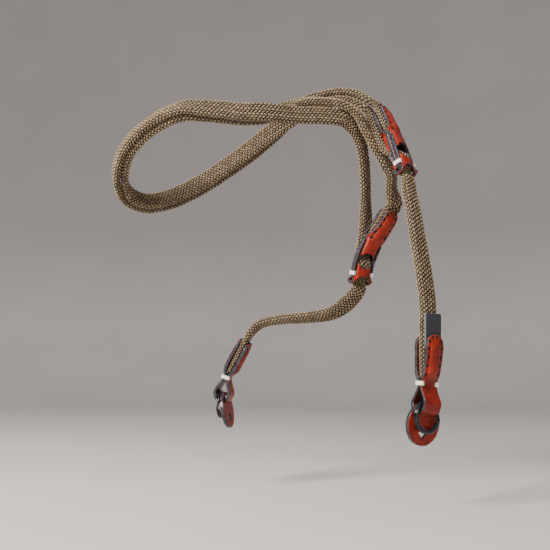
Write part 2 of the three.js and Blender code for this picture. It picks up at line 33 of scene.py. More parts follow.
# Rope, and the share of its width that it keeps round the top bend
ROPE_WIDTH = 11.5
ROPE_THICKNESS = 4.3
BENT_SHARE = 0.93
PERIMETER = 2 * (ROPE_WIDTH - ROPE_THICKNESS) + math.pi * ROPE_THICKNESS
ROUTE_POINTS = 160

# Braid: columns of floats round the rope, half a pick apart, over a core painted dark as shade between them.
# # The painted shade on the floats' lower parts is set in float heights.
BRAID_COLUMNS = 16
BRAID_PICK = 2.35
FLOAT_LENGTH = 3.1
FLOAT_WIDTH = 1.12
FLOAT_HEIGHT = 0.68
FLOAT_SINK = 0.36
FLOAT_ANGLE = math.radians(36)
FLOAT_SHADE_BELOW = 0.8
FLOAT_SHADE_OVER = 0.9
CORE_INSET = 0.55
CORE_STEP = 2.0
CORE_SIDES = 24

# How far the floats stray from their even places.
STRAY_LEAN = 0.03  # radians
STRAY_ALONG = 0.05
STRAY_ROUND = 0.0012  # of the way round the rope
STRAY_SIZE = 0.05  # of the float's width
STRAY_LIFT = 0.035

# One float: its rings across the yarn as (share of width, share of height), and where they stand along it.
FLOAT_RING = [(-0.5, -0.35), (-0.27, 0.8), (0.27, 0.8), (0.5, -0.35)]
FLOAT_STANDS = [(-0.2, 1.0), (0.2, 1.0)]
FLOAT_TIP_HEIGHT = -0.75

# Fittings, with the solids' sizes and where the scene departs from them: presses, lift and lean
LEATHER = 2.1
KEEPER_LENGTH = 52
KEEPER_WIDTH = 13.8
KEEPER_TONGUE_LENGTH = 23
KEEPER_TONGUE_WIDTH = 11.2
KEEPER_FOLD_HOLE = 5.5
KEEPER_HALF_GAP = 2.8
KEEPER_BACK_HOLE_LENGTH = 14
TAB_TONGUE_LENGTH = 28
TAB_LOOP_LENGTH = 18
TAB_WIDTH = 12.6
SEWN_ROPE = 3.5
SQUEEZED_ROPE = 3.9
SEWN_LENGTH = 21
TAB_SEWN_LENGTH = 25
CLEARANCE = 0.3
KEEPER_FRONT_PRESS = 1.6
KEEPER_BACK_PRESS = 3.9
PAD_LIFT = 0.5
LEFT_LEAN = math.radians(-14)
THREAD_LENGTH = 3.2
THREAD_TURNS = 6
THREAD_RADIUS = 0.34
THREAD_CROWDING = 0.75
THREAD_REACH = 1.35
THREAD_OUTER_SHARE = 0.55
THREAD_SQUARENESS = 0.6
THREAD_SLACK = 0.12
THREAD_STANDOFF = 0.4
THREAD_INSET = 0.2
THREAD_POINTS = 28
RIDE = KEEPER_HALF_GAP + LEATHER + ROPE_THICKNESS / 2 + 0.4

# How a rope ends in a pair of tongues: share of its width there, at its end, half-way, at the tips and before them
SEWN_WIDTHS = (0.94, 1.02, 1, 0.98)
SEWN_END_THINNING = 0.7
SEWN_LEAD = 4

# How a rope comes to a keeper: place past its foot, place towards the front, shares of its width and thickness
KEEPER_ENTRY = [
    (3, 0.2, 0.86, 0.95),
    (-2, 0, 0.68, 0.8),
]

# How it passes the keeper: back-hole lengths above the fold hole, place towards the front, share of its width
KEEPER_PASSAGE = [
    (0, 0.4, 0.78),
    (0.3, 1.5, 0.82),
    (0.55, 1.8, 0.82),
    (0.84, -1.6, 0.82),
    (1.12, -0.8 * RIDE, 0.86),
    (1.5, -RIDE, 0.95),
]

# Rounding of the solids
LEATHER_VOXEL = 0.36
PAD_VOXEL = 0.34
LABEL_VOXEL = 0.3
SMOOTH_ROUNDS = 4
LINE_STANDS = 260

# Where a strip's rims are pressed and joined, as shares of half its width, and how the press fades lengthways
RIM_START = 0.6
RIM_SPAN = 0.28
JOINED_START = 0.56
JOINED_SPAN = 0.12
PRESS_FADE_IN = 5
PRESS_FADE_OUT = 2.5

# The tongues' ridge over the rope, the tabs' waist and the stitch holes
RIDGE_HEIGHT = 1.3
RIDGE_HALF_WIDTH = 3.9
RIDGE_POWER = 0.7
RIDGE_FROM_TIP = 2.5
RIDGE_FADE = 4
WAIST_BELOW_TONGUE = 5
WAIST_REACH = 9
HOLE_RADIUS = 1.08
HOLE_SOFTNESS = 0.3
HOLE_DEPTH = 0.35
HOLES_PAST_TONGUE = 4

# How far a normal turns sideways, or away from the face, before the leather counts as edge or inner side
EDGE_START = 0.55
EDGE_SPAN = 0.25
INNER_START = 0.3
INNER_SPAN = 0.3
JOINED_TURN = 0.3
JOINED_TURN_SPAN = 0.2
SHEET_EDGE_BELOW = 0.75
SHEET_EDGE_SPAN = 0.3

# Stitches: their holes' pitch and distance from the edge, and angles in degrees round a tongue's tip
KEEPER_STITCH_PITCH = 4.6
KEEPER_STITCH_INSET = 1.5
TAB_STITCH_PITCH = 4.9
TAB_STITCH_INSET = 1.6
TIP_HOLE_ANGLES = [-62, -21, 21, 62]
FIRST_ROW = 0.35
TONGUE_MIDDLE = 11
STITCH_LONGEST = 7
STITCH_RADIUS = 0.3
STITCH_TIP = 0.2
STITCH_START = 0.25
STITCH_RAY = 15

# Split rings: RING_TURN is where the wire starts and ends in degrees, RING_STEP where it steps to its second turn
RING_RADIUS = 9.7
RING_DROP = 2.8
RING_WIRE_RADIAL = 2.2
RING_WIRE_AXIAL = 1.1
RING_GAP = 0.2
RING_STEPS = 200
RING_SIDES = 16
RING_SQUARENESS = 0.55
RING_TURN = (20, 700)
RING_STEP_AT = 342
RING_STEP_OVER = 36

# Stage, in metres and degrees, the lens in millimetres
FLOOR = -0.2372
BOWL_RADIUS = 2.4
BOWL_BEND = 1.0
BOWL_TOP = 2.2
BOWL_HUB = 0.02
CAMERA_LENS = 51.45
CAMERA_SENSOR = 36
CAMERA_SHIFT = 0.08
CAMERA_PLACE = (-0.03796, -0.48103, -0.15902)
CAMERA_AIM = 0.952
CAMERA_TILT = 4.002
CAMERA_ROLL = 0.26
LIT_POINT = (-0.05, 0.0, -0.09)
WORLD_COLOR = (0.62, 0.6, 0.6, 1)
WORLD_STRENGTH = 0.98

# Where each fitting lies: x, y, z of its middle line from tip to foot, then the way its front faces.
KEEPER_UPPER_LINE = [
    (19, 1, 5.9, 0.8, -0.55, 0.2),
    (26.4, -9, -16.5, 0.7, -0.62, 0.33),
    (32.6, -18, -41.3, 0.64, -0.68, 0.33),
]
KEEPER_LOWER_LINE = [
    (26.9, 10, -55.5, 0.66, -0.74, 0.1),
    (21, 12.5, -66, 0.6, -0.8, -0.1),
    (14.4, 15, -76, 0.5, -0.86, 0),
    (9.6, 17.5, -88, 0.45, -0.88, 0),
    (7, 20, -104.5, 0.42, -0.9, 0),
]
TAB_RIGHT_LINE = [
    (41.6, -32, -136.2, 0.55, -0.83, 0),
    (41.3, -32, -163, 0.57, -0.82, 0),
    (39.8, -33, -181.6, 0.58, -0.81, 0),
]
TAB_LEFT_LINE = [
    (-66, 50, -136.5, -0.86, 0.12, 0.45),
    (-79.3, 54, -163, -0.88, 0.14, 0.42),
    (-82.5, 55, -180.5, -0.96, 0.18, 0.2),
]

# The neck loop: x, y, z between the two ropes, the way the outer one faces, and their spacing.
LOOP = [
    (-54.3, -16, -2.1, 0, -0.99, 0.12, 5),
    (-65.1, -17.5, -2.9, 0, -0.96, 0.28, 5),
    (-77.3, -18.3, -2, 0, -0.92, 0.4, 5),
    (-91.7, -19, -1.1, -0.05, -0.87, 0.5, 5),
    (-100.1, -18.5, -1, -0.15, -0.75, 0.64, 5),
    (-109.1, -16.5, -3, -0.3, -0.65, 0.7, 5),
    (-120.8, -12, -7.7, -0.45, -0.6, 0.66, 5),
    (-130.6, -6.5, -13.3, -0.58, -0.6, 0.55, 4.9),
    (-139.4, 0.5, -20.9, -0.7, -0.6, 0.4, 5),
    (-145, 10, -31.2, -0.84, -0.52, 0.1, 5.1),
    (-145.6, 18, -38.4, -0.95, -0.1, -0.2, 5.1),
    (-142.8, 25, -43.4, -0.8, 0.45, -0.4, 5),
    (-133.5, 33, -46.2, -0.4, 0.78, -0.48, 4.9),
    (-124.3, 37, -44.6, -0.12, 0.87, -0.48, 5),
    (-116.8, 39, -42.1, 0, 0.89, -0.45, 5),
    (-105.2, 41, -36.3, 0.05, 0.92, -0.38, 5),
    (-91.5, 42, -28.1, 0.1, 0.93, -0.35, 5),
    (-78.2, 41.5, -19.1, 0.12, 0.94, -0.32, 5),
    (-65.4, 40, -10.4, 0.15, 0.95, -0.28, 5),
    (-55.2, 37, -2.8, 0.18, 0.96, -0.15, 5),
    (-44.5, 32, 4.9, 0.2, 0.93, 0.3, 5.2),
    (-35.4, 26, 11, 0.05, 0.65, 0.75, 5.3),
    (-25.2, 20, 15.7, -0.2, 0.25, 0.95, 5.2),
    (-14.5, 15.5, 17.8, -0.1, 0.05, 0.98, 5),
    (-4.6, 11.5, 18.3, 0.15, -0.1, 0.97, 5),
    (4.3, 7.5, 15.8, 0.45, -0.25, 0.85, 5),
    (11, 4.5, 11.1, 0.7, -0.42, 0.55, 5),
]

# The ropes between their fittings: x, y, z, facing direction.
ROPE_A_FROM_TAB = [
    (-57, 47, -125.8, 0.62, -0.3, -0.7),
    (-41.8, 41, -122.8, 0.1, -0.25, -0.96),
    (-24.5, 35, -121.8, 0.05, -0.4, -0.92),
    (-9.5, 28.5, -119.5, 0.2, -0.6, -0.75),
    (0.5, 24, -113, 0.36, -0.85, -0.4),
]
ROPE_A_TO_LOOP = [
    (11.6, 19, -47.8, 0.86, -0.5, 0),
    (10.9, 13, -35.1, 0.87, -0.5, 0),
    (9.3, 7.5, -22, 0.87, -0.5, 0),
    (7, 3, -13.6, 0.84, -0.54, 0.05),
    (2.1, -2, -6.5, 0.7, -0.7, 0.1),
    (-4.4, -6.5, -2, 0.45, -0.87, 0.1),
    (-14.3, -10, -1.5, 0.15, -0.98, 0.1),
    (-31.4, -12.5, -1.8, 0.02, -1, 0.1),
]
ROPE_B_FROM_TAB = [
    (41.8, -32.5, -124, 0.55, -0.83, 0),
    (41.3, -32.5, -114, 0.55, -0.83, 0),
    (40.2, -32, -104, 0.56, -0.82, 0),
    (38.6, -30.5, -91.4, 0.57, -0.81, 0.05),
    (36.6, -28, -76.5, 0.6, -0.78, 0.15),
    (35.1, -25, -62.5, 0.63, -0.74, 0.25),
    (33.6, -21, -51, 0.64, -0.69, 0.33),
]
ROPE_B_FROM_LOOP = [
    (-47, -11.3, -0.5, 0, -0.97, 0.25),
    (-40, -7.4, 3.8, 0, -0.85, 0.5),
    (-31.3, -6.6, 8, 0, -0.5, 0.87),
    (-17, -7.6, 8.5, 0.1, -0.4, 0.9),
    (-4.3, -8, 6.3, 0.45, -0.35, 0.82),
    (4, -6, 1.1, 0.75, -0.4, 0.5),
    (9.4, -4.5, -8.1, 0.86, -0.42, 0.25),
    (13.9, -3.5, -15.5, 0.88, -0.46, 0.1),
    (20.9, -1, -26.5, 0.87, -0.48, 0),
    (26, 2.5, -34.5, 0.85, -0.52, 0),
    (26.6, 6.5, -43.5, 0.78, -0.62, 0.05),
]


def unit(vectors):
    vectors = np.asarray(vectors, float)
    return vectors / np.linalg.norm(vectors, axis=-1, keepdims=True)


def rise(values, start, span):
    """0 up to the start, 1 from the start plus the span on, and straight between."""
    return np.clip((values - start) / span, 0, 1)


def squared_off(wave, power):
    """A sine or cosine with flatter crests, for sections between an ellipse and a box."""
    return np.sign(wave) * np.abs(wave) ** power


class Lie:
    """A centripetal Catmull-Rom curve that carries a facing direction, a width and a thickness."""

    STEPS = 4000

    def __init__(self, stations):
        self.points = np.array([s[0] for s in stations], float)
        self.faces = unit([s[1] for s in stations])
        self.wide = np.array([s[2] for s in stations], float)
        self.thick = np.array([s[3] for s in stations], float)
        self.last = len(stations) - 1
        self.params = np.linspace(0, self.last, self.STEPS + 1)
        places = self.curve(self.params)
        gaps = np.linalg.norm(np.diff(places, axis=0), axis=1)
        self.lengths = np.concatenate([[0], np.cumsum(gaps)])
        self.length = self.lengths[-1]
        self.tangents = unit(np.gradient(places, axis=0))

    def curve(self, params):
        before = 2 * self.points[0] - self.points[1]
        after = 2 * self.points[-1] - self.points[-2]
        padded = np.vstack([before, self.points, after])
        start = np.minimum(params.astype(int), self.last - 1)
        share = (params - start)[:, None]
        p0, p1, p2, p3 = (padded[start + k] for k in range(4))

        def knot(a, b):
            return np.maximum(np.sum((a - b) ** 2, axis=1), 1e-8)[:, None] ** 0.25

        d0, d1, d2 = knot(p0, p1), knot(p1, p2), knot(p2, p3)
        t1 = ((p1 - p0) / d0 - (p2 - p0) / (d0 + d1) + (p2 - p1) / d1) * d1
        t2 = ((p2 - p1) / d1 - (p3 - p1) / (d1 + d2) + (p3 - p2) / d2) * d1
        c2 = -3 * p1 + 3 * p2 - 2 * t1 - t2
        c3 = 2 * p1 - 2 * p2 + t1 + t2
        return p1 + t1 * share + c2 * share**2 + c3 * share**3

    def frames(self, along):
        """Place, tangent, face, across, wide and thick at each length along the curve."""
        along = np.atleast_1d(np.asarray(along, float))
        held = np.clip(along, 0, self.length)
        params = np.interp(held, self.lengths, self.params)
        places = self.curve(params)
        tangents = unit(np.column_stack([np.interp(params, self.params, self.tangents[:, k]) for k in range(3)]))
        index = np.arange(self.last + 1)
        faces = np.column_stack([np.interp(params, index, self.faces[:, k]) for k in range(3)])
        faces = unit(faces - tangents * np.sum(faces * tangents, axis=1, keepdims=True))
        places = places + tangents * (along - held)[:, None]
        wide = np.interp(params, index, self.wide)
        thick = np.interp(params, index, self.thick)
        return places, tangents, faces, np.cross(faces, tangents), wide, thick

    def place(self, across, out, along):
        along = np.atleast_1d(np.asarray(along, float))
        places, _, faces, sides, _, _ = self.frames(along)
        return places + sides * np.reshape(across, (-1, 1)) + faces * np.reshape(out, (-1, 1))


def free(rows, wide=1.0):
    """Stations of a stretch that nothing holds."""
    return [(row[:3], row[3:6], wide, 1.0) for row in rows]


def line(rows):
    """The middle line of a fitting or of the loop."""
    return Lie(free(rows))


keeper_upper_line = line(KEEPER_UPPER_LINE)
keeper_lower_line = line(KEEPER_LOWER_LINE)
tab_right_line = line(TAB_RIGHT_LINE)
tab_left_line = line(TAB_LEFT_LINE)


def in_fitting(fitting, along, out, wide, thick, facing=1):
    """A rope's station beside a fitting's line."""
    face = fitting.frames(np.clip(along, 0, fitting.length))[2][0] * facing
    return fitting.place(0, out, along)[0], face, wide, thick


def sewn_end(fitting, facing, sewn=SEWN_LENGTH):
    """A rope's end between two tongues, from its end outwards."""
    thick = SEWN_ROPE / ROPE_THICKNESS
    alongs = (sewn, SEWN_LENGTH * 0.5, 0, -SEWN_LEAD)
    thicks = (thick * SEWN_END_THINNING, thick, thick, 1)
    return [
        in_fitting(fitting, along, 0, wide, thick, facing)
        for along, wide, thick in zip(alongs, SEWN_WIDTHS, thicks)
    ]


def through_keeper(fitting):
    """Up through the hole in the fold, past the window, out of the back layer's hole and along behind."""
    bridge = KEEPER_LENGTH - KEEPER_FOLD_HOLE
    stations = []
    for past, out, wide, thick in KEEPER_ENTRY:
        stations.append(in_fitting(fitting, KEEPER_LENGTH + past, out, wide, thick))
    for holes, out, wide in KEEPER_PASSAGE:
        along = bridge - holes * KEEPER_BACK_HOLE_LENGTH
        stations.append(in_fitting(fitting, along, out, wide, SQUEEZED_ROPE / ROPE_THICKNESS))
    return stations


def loop_stations(side):
    """Round the loop the two ropes lie face to face, one to each side of the table's line."""
    middle = line(LOOP)
    stations = []
    for index, row in enumerate(LOOP):
        along = middle.lengths[np.searchsorted(middle.params, index)]
        _, tangent, _, _, _, _ = middle.frames(along)
        face = np.array(row[3:6], float) / np.linalg.norm(row[3:6])
        face = unit(face - tangent[0] * face.dot(tangent[0]))
        stations.append((np.array(row[:3]) + face * side * row[6] / 2, face, 1.0, 1.0))
    return stations


rope_a_line = Lie([
    *sewn_end(tab_left_line, -1, TAB_SEWN_LENGTH),
    *free(ROPE_A_FROM_TAB),
    *through_keeper(keeper_lower_line),
    *free(ROPE_A_TO_LOOP, BENT_SHARE),
    *loop_stations(1),
    *sewn_end(keeper_upper_line, 1)[::-1],
])
rope_b_line = Lie([
    *sewn_end(tab_right_line, 1, TAB_SEWN_LENGTH),
    *free(ROPE_B_FROM_TAB),
    *through_keeper(keeper_upper_line),
    in_fitting(keeper_upper_line, 10, -RIDE, 0.95, 1),
    in_fitting(keeper_upper_line, -3, -RIDE + 0.8, 1, 1),
    *loop_stations(-1)[::-1],
    *free(ROPE_B_FROM_LOOP, BENT_SHARE),
    *sewn_end(keeper_lower_line, 1)[::-1],
])


# Materials

class Nodes:
    """Short calls to build one material's node tree."""

    def __init__(self, name):
        self.material = bpy.data.materials.new(name)
        self.material.use_nodes = True
        self.tree = self.material.node_tree
        self.shader = self.tree.nodes["Principled BSDF"]
        self.coords = self.tree.nodes.new("ShaderNodeTexCoord").outputs["Object"]

    def link(self, source, target):
        self.tree.links.new(source, target)

    def noise(self, scale, detail=3.0, rough=0.55):
        node = self.tree.nodes.new("ShaderNodeTexNoise")
        node.inputs["Scale"].default_value = scale
        node.inputs["Detail"].default_value = detail
        node.inputs["Roughness"].default_value = rough
        self.link(self.coords, node.inputs["Vector"])
        return node.outputs["Fac"]

    def ramp(self, source, stops):
        node = self.tree.nodes.new("ShaderNodeValToRGB")
        elements = node.color_ramp.elements
        while len(elements) < len(stops):
            elements.new(0.5)
        for element, (place, color) in zip(elements, stops):
            element.position = place
            element.color = (*color, 1)
        self.link(source, node.inputs["Fac"])
        return node.outputs["Color"]

    def mix(self, factor, first, second, blend="MIX"):
        node = self.tree.nodes.new("ShaderNodeMix")
        node.data_type = "RGBA"
        node.blend_type = blend
        for value, socket in ((factor, node.inputs[0]), (first, node.inputs[6]), (second, node.inputs[7])):
            if isinstance(value, bpy.types.NodeSocket):
                self.link(value, socket)
            elif isinstance(value, tuple):
                socket.default_value = (*value, 1)
            else:
                socket.default_value = value
        return node.outputs[2]

    def mapped(self, source, low, high):
        node = self.tree.nodes.new("ShaderNodeMapRange")
        node.inputs["To Min"].default_value = low
        node.inputs["To Max"].default_value = high
        self.link(source, node.inputs["Value"])
        return node.outputs["Result"]

    def attribute(self, name):
        node = self.tree.nodes.new("ShaderNodeAttribute")
        node.attribute_name = name
        return node.outputs["Fac"]

    def bump(self, height, distance, strength=1.0, normal=None):
        node = self.tree.nodes.new("ShaderNodeBump")
        node.inputs["Distance"].default_value = distance
        node.inputs["Strength"].default_value = strength
        self.link(height, node.inputs["Height"])
        if normal is not None:
            self.link(normal, node.inputs["Normal"])
        return node.outputs["Normal"]

    def set(self, **values):
        for name, value in values.items():
            socket = self.shader.inputs[name.replace("_", " ")]
            if isinstance(value, bpy.types.NodeSocket):
                self.link(value, socket)
            elif isinstance(value, tuple):
                socket.default_value = (*value, 1)
            else:
                socket.default_value = value
        return self.material


def yarn_material():
    nodes = Nodes("yarn")
    each = nodes.tree.nodes.new("ShaderNodeNewGeometry").outputs["Random Per Island"]
    tint = nodes.ramp(each, [
        (0.0, (0.205, 0.138, 0.069)),
        (0.5, (0.285, 0.199, 0.104)),
        (1.0, (0.38, 0.277, 0.152)),
    ])
    fade = nodes.ramp(nodes.noise(30, 2), [(0.3, (0.78, 0.76, 0.74)), (0.7, (1, 1, 1))])
    color = nodes.mix(1.0, tint, fade, "MULTIPLY")
    # Painted shade: each float darkens towards its lower part, where it sinks between its neighbours.
    color = nodes.mix(nodes.attribute("depth"), color, (0.013, 0.008, 0.004))
    fibre = nodes.bump(nodes.noise(2600, 2), 0.00012, 0.5)
    return nodes.set(Base_Color=color, Roughness=0.82, Normal=fibre, Sheen_Weight=0.25, Specular_IOR_Level=0.25)


# The core shows only in the gaps between the floats, and its dark colour is painted shade there.
def core_shade_material():
    nodes = Nodes("rope_core_shade")
    color = nodes.ramp(nodes.noise(900, 3), [(0.35, (0.013, 0.009, 0.005)), (0.7, (0.045, 0.03, 0.016))])
    return nodes.set(Base_Color=color, Roughness=0.95, Normal=nodes.bump(nodes.noise(1800), 0.0002))


def leather_material():
    nodes = Nodes("leather")
    tone = nodes.ramp(nodes.noise(110, 4, 0.6), [
        (0.3, (0.14, 0.006, 0.002)),
        (0.5, (0.27, 0.015, 0.004)),
        (0.72, (0.42, 0.032, 0.009)),
    ])
    fine = nodes.ramp(nodes.noise(1100, 4, 0.7), [(0.38, (0.5, 0.46, 0.44)), (0.6, (1.15, 1.15, 1.15))])
    red = nodes.mix(1.0, tone, fine, "MULTIPLY")
    paint = nodes.ramp(nodes.noise(400, 2), [(0.3, (0.014, 0.016, 0.02)), (0.75, (0.05, 0.055, 0.066))])
    edge = nodes.attribute("edge")
    # Painted shade: the inner sides, which face the other layer, are coloured a darker red than the outer faces.
    red = nodes.mix(nodes.attribute("inner"), red, (0.085, 0.012, 0.006))
    color = nodes.mix(edge, red, paint)
    # Painted shade: the stitch holes are coloured near black, as the shade inside them.
    color = nodes.mix(nodes.attribute("hole"), color, (0.008, 0.004, 0.003))
    rough = nodes.mix(edge, nodes.mapped(nodes.noise(260, 3), 0.34, 0.5), (0.22, 0.22, 0.22))
    creases = nodes.bump(nodes.noise(240, 3, 0.5), 0.0006, 0.35)
    grain = nodes.bump(nodes.noise(1000, 4, 0.65), 0.00022, 0.6, creases)
    return nodes.set(Base_Color=color, Roughness=rough, Normal=grain, Specular_IOR_Level=0.3)


def thread_material():
    nodes = Nodes("thread")
    color = nodes.ramp(nodes.noise(700, 2), [(0.3, (0.62, 0.56, 0.5)), (0.7, (0.86, 0.82, 0.77))])
    return nodes.set(Base_Color=color, Roughness=0.7, Normal=nodes.bump(nodes.noise(3000, 2), 0.0001, 0.5))


def red_thread_material():
    nodes = Nodes("red_thread")
    return nodes.set(Base_Color=(0.5, 0.12, 0.05), Roughness=0.5)


def ring_material():
    nodes = Nodes("ring_metal")
    color = nodes.ramp(nodes.noise(300, 2), [(0.3, (0.01, 0.014, 0.016)), (0.7, (0.022, 0.028, 0.03))])
    rough = nodes.mapped(nodes.noise(600, 3), 0.12, 0.3)
    return nodes.set(Base_Color=color, Roughness=rough, Metallic=0.6, Coat_Weight=0.5)


def label_material():
    nodes = Nodes("label")
    nap = nodes.ramp(nodes.noise(1100, 4, 0.7), [(0.3, (0.014, 0.015, 0.02)), (0.7, (0.048, 0.05, 0.062))])
    color = nodes.mix(nodes.attribute("edge"), nap, (0.11, 0.115, 0.13))
    return nodes.set(Base_Color=color, Roughness=0.8, Normal=nodes.bump(nodes.noise(2200, 3), 0.00015, 0.6))


def floor_material():
    nodes = Nodes("floor")
    parts = nodes.tree.nodes.new("ShaderNodeSeparateXYZ")
    nodes.link(nodes.coords, parts.inputs[0])
    # Painted shade: the bowl's wall is coloured darker higher up, as the light falls off there.
    height = nodes.ramp(parts.outputs["Z"], [(0.0, (0.62, 0.59, 0.58)), (0.35, (0.46, 0.435, 0.425))])
    mottle = nodes.ramp(nodes.noise(4, 3), [(0.3, (0.94, 0.94, 0.94)), (0.7, (1, 1, 1))])
    return nodes.set(Base_Color=nodes.mix(1.0, height, mottle, "MULTIPLY"), Roughness=0.85)


# Meshes

def mesh_object(name, vertices, faces, material):
    """An object from vertices in millimetres and faces that all have the same number of corners."""
    mesh = bpy.data.meshes.new(name)
    faces = np.asarray(faces, np.int32)
    mesh.vertices.add(len(vertices))
    mesh.vertices.foreach_set("co", (np.asarray(vertices, np.float32) * MM).ravel())
    mesh.loops.add(faces.size)
    mesh.loops.foreach_set("vertex_index", faces.ravel())
    mesh.polygons.add(len(faces))
    mesh.polygons.foreach_set("loop_start", np.arange(len(faces), dtype=np.int32) * faces.shape[1])
    mesh.update(calc_edges=True)
    mesh.polygons.foreach_set("use_smooth", np.ones(len(faces), bool))
    mesh.validate()
    mesh.materials.append(material)
    obj = bpy.data.objects.new(name, mesh)
    bpy.context.scene.collection.objects.link(obj)
    return obj


def add_attribute(obj, name, values):
    attribute = obj.data.attributes.new(name, "FLOAT", "POINT")
    attribute.data.foreach_set("value", np.asarray(values, np.float32))


def rope_section(share):
    """Place and outward normal on the rope's rounded flat outline, at a share of the way round it."""
    radius = ROPE_THICKNESS / 2
    flat = ROPE_WIDTH - ROPE_THICKNESS
    arc = math.pi * radius
    around = np.mod(share, 1.0) * (2 * flat + 2 * arc)
    angle_right = (around - flat) / radius
    angle_left = (around - 2 * flat - arc) / radius
    on = [around < flat, around < flat + arc, around < 2 * flat + arc]
    across = np.select(
        on,
        [around - flat / 2, flat / 2 + radius * np.sin(angle_right), flat / 2 - (around - flat - arc)],
        -flat / 2 - radius * np.sin(angle_left),
    )
    out = np.select(on, [radius + 0 * around, radius * np.cos(angle_right), -radius + 0 * around],
                    -radius * np.cos(angle_left))
    normal_across = np.select(on, [0 * around, np.sin(angle_right), 0 * around], -np.sin(angle_left))
    normal_out = np.select(on, [1 + 0 * around, np.cos(angle_right), -1 + 0 * around], -np.cos(angle_left))
    return across, out, normal_across, normal_out


def on_rope(lie, along, share, height):
    """Points on a rope's surface, lifted by a height along its normal."""
    places, _, faces, sides, wide, thick = lie.frames(along)
    across, out, normal_across, normal_out = rope_section(share)
    across = (across * wide + normal_across * height)[:, None]
    out = (out * thick + normal_out * height)[:, None]
    return places + sides * across + faces * out


def grid_faces(rows, columns, closed):
    """Quads of a grid, whose columns join round where closed."""
    width = columns if closed else columns - 1
    row = np.arange(rows - 1)[:, None] * columns
    column = np.arange(width)[None, :]
    following = (column + 1) % columns
    below = row + columns
    return np.stack([row + column, row + following, below + following, below + column], -1).reshape(-1, 4)


def float_template():
    """Vertices as (along, across, height) in millimetres, and triangles, of one float of yarn."""
    vertices = [(-0.5 * FLOAT_LENGTH, 0.0, FLOAT_TIP_HEIGHT * FLOAT_HEIGHT)]
    for stand, size in FLOAT_STANDS:
        vertices += [(stand * FLOAT_LENGTH, w * size * FLOAT_WIDTH, h * FLOAT_HEIGHT) for w, h in FLOAT_RING]
    vertices.append((0.5 * FLOAT_LENGTH, 0.0, FLOAT_TIP_HEIGHT * FLOAT_HEIGHT))
    count = len(FLOAT_RING)
    triangles = []
    for k in range(count):
        following = (k + 1) % count
        triangles.append((0, 1 + following, 1 + k))
        triangles.append((1 + k, 1 + following, 1 + count + following))
        triangles.append((1 + k, 1 + count + following, 1 + count + k))
        triangles.append((2 * count + 1, 1 + count + k, 1 + count + following))
    return np.array(vertices), np.array(triangles)


def braid(name, lie, materials, random):
    """The rope's core, painted dark as the shade between the floats, and, over it, its floats of yarn in a
    herringbone.
    """
    core_steps = int(lie.length / CORE_STEP)
    along = np.repeat(np.linspace(0, lie.length, core_steps + 1), CORE_SIDES)
    share = np.tile(np.arange(CORE_SIDES) / CORE_SIDES, core_steps + 1)
    core = on_rope(lie, along, share, -CORE_INSET)
    caps = [lie.frames(0)[0][0], lie.frames(lie.length)[0][0]]
    core_faces = grid_faces(core_steps + 1, CORE_SIDES, True)
    first_cap = len(core)
    last_row = core_steps * CORE_SIDES
    fans = []
    for k in range(CORE_SIDES):
        following = (k + 1) % CORE_SIDES
        fans.append((first_cap, following, k))
        fans.append((first_cap + 1, last_row + k, last_row + following))
    core_triangles = np.vstack([core_faces[:, [0, 1, 2]], core_faces[:, [0, 2, 3]], fans])

    template, triangles = float_template()
    picks = np.arange(int(lie.length / BRAID_PICK))
    columns = np.arange(BRAID_COLUMNS)
    pick, column = (grid.ravel() for grid in np.meshgrid(picks, columns, indexing="ij"))
    count = len(pick)
    lean = np.where(column % 2 == 0, 1.0, -1.0) * (FLOAT_ANGLE + random.normal(0, STRAY_LEAN, count))
    at = (pick + 0.5 + 0.5 * (column % 2)) * BRAID_PICK + random.normal(0, STRAY_ALONG, count)
    around = (column + 0.5) / BRAID_COLUMNS + random.normal(0, STRAY_ROUND, count)
    size = 1 + random.normal(0, STRAY_SIZE, count)
    lift = random.normal(0, STRAY_LIFT, count)
    length, width, height = (template[:, k][None, :] for k in range(3))
    lean = lean[:, None]
    moved_along = np.cos(lean) * length - np.sin(lean) * width * size[:, None]
    moved_round = np.sin(lean) * length + np.cos(lean) * width * size[:, None]
    s = np.clip(at[:, None] + moved_along, 0, lie.length).ravel()
    v = (around[:, None] + moved_round / PERIMETER).ravel()
    h = (height + lift[:, None] - FLOAT_SINK + 0 * moved_along).ravel()
    floats = on_rope(lie, s, v, h)
    # How low each point of a float lies, as painted shade on its lower part where it sinks between its neighbours.
    depth = rise(FLOAT_SHADE_BELOW - template[:, 2] / FLOAT_HEIGHT, 0, FLOAT_SHADE_OVER)
    offsets = (np.arange(count) * len(template))[:, None, None]
    float_triangles = (triangles[None] + offsets).reshape(-1, 3) + first_cap + 2
    vertices = np.vstack([core, caps, floats])
    piece = mesh_object(name, vertices, np.vstack([core_triangles, float_triangles]), materials[0])
    piece.data.materials.append(materials[1])
    slots = np.zeros(len(core_triangles) + len(float_triangles), np.int32)
    slots[:len(core_triangles)] = 1
    piece.data.polygons.foreach_set("material_index", slots)
    add_attribute(piece, "depth", np.concatenate([np.ones(len(core) + 2), np.tile(depth, count)]))
    return piece


